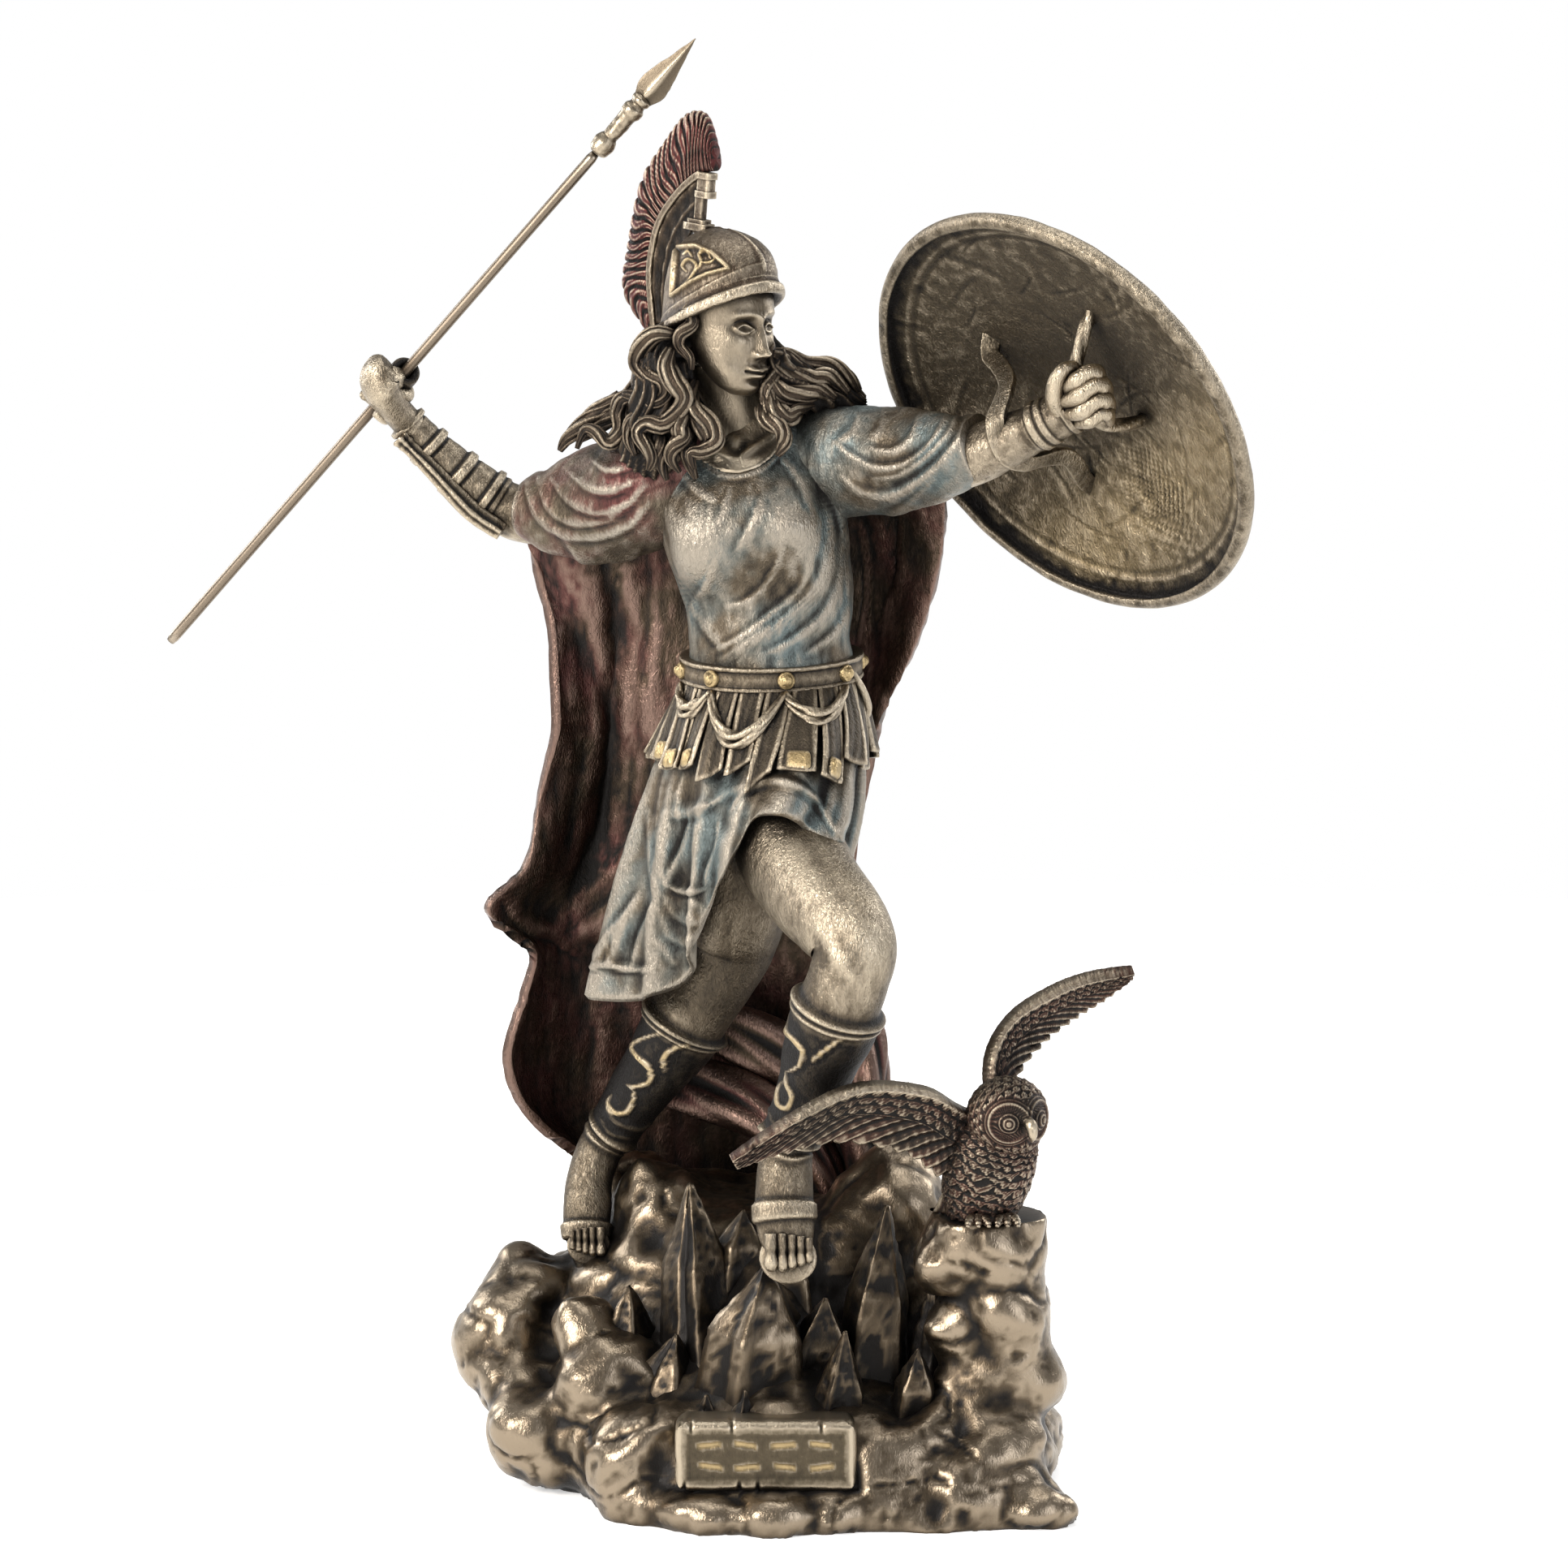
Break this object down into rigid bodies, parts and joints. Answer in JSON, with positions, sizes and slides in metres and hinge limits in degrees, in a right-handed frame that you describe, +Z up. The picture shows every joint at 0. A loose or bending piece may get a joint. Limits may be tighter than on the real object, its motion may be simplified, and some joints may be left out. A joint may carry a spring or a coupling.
{
  "type": "figurine",
  "caption": "Cold-cast bronze figurine of a helmeted goddess who strides over a crystal-grown rock with a raised spear and a round shield, an owl landing by her foot.",
  "frame": {"origin": "middle of the flat underside of the rock base", "axes": "+Z up, -Y towards the figure's front and the name plate, +X towards the owl and the shield"},
  "size_m": [0.2264, 0.1331, 0.3009],
  "materials": {
    "cast_bronze": "dark patina with bright rubbed edges",
    "shield_bronze": "dark patina, scratched, with a rubbed rim",
    "owl_bronze": "dark brown patina with reddish tints",
    "spear_rod": "satin brown patina",
    "spear_bronze": "satin patina with rubbed edges"
  },
  "bodies": {
    "root": {"statue": "cast_bronze", "shield": "shield_bronze", "owl": "owl_bronze", "spear_shaft": "spear_rod", "spear_head": "spear_bronze"}
  },
  "joints": []
}
